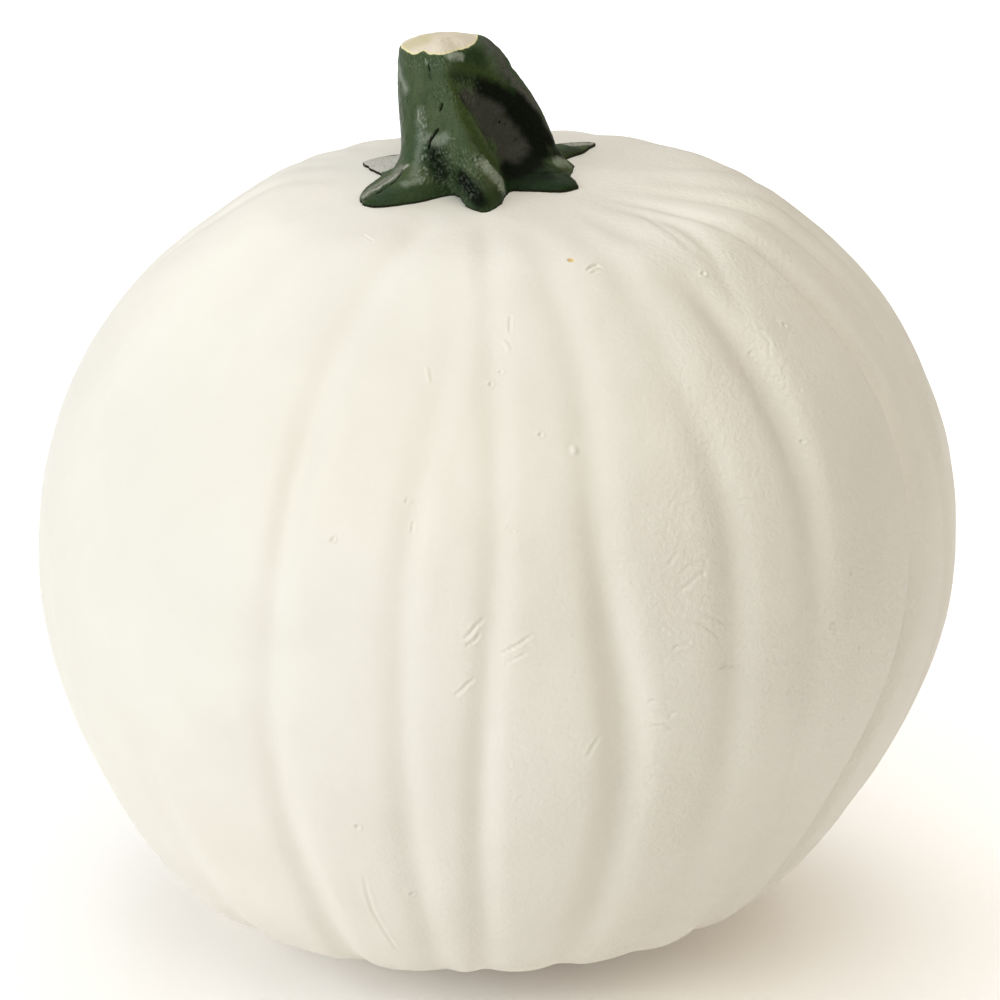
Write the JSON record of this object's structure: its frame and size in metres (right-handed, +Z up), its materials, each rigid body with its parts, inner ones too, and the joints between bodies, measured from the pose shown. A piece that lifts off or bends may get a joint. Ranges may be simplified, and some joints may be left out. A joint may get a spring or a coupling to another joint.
{
  "type": "artificial carving pumpkin",
  "caption": "Squat ribbed craft pumpkin in matte ivory, with shallow uneven lobes, standing on a flat ring, and a glossy dark green stem with splayed toes and a cream cut face.",
  "frame": {"origin": "on the ground, under the middle of the part's outline", "axes": "+Z up along the fruit, -Y towards the side the picture shows, +X to the right of it"},
  "size_m": [0.2423, 0.2423, 0.2433],
  "materials": {
    "skin": "matte ivory skin of moulded foam with a fine brushed texture",
    "stem_paint": "glossy dark green brushed paint over a cast stem, its cut face painted cream"
  },
  "bodies": {
    "root": {"body": "skin", "stem": "stem_paint"}
  },
  "joints": []
}
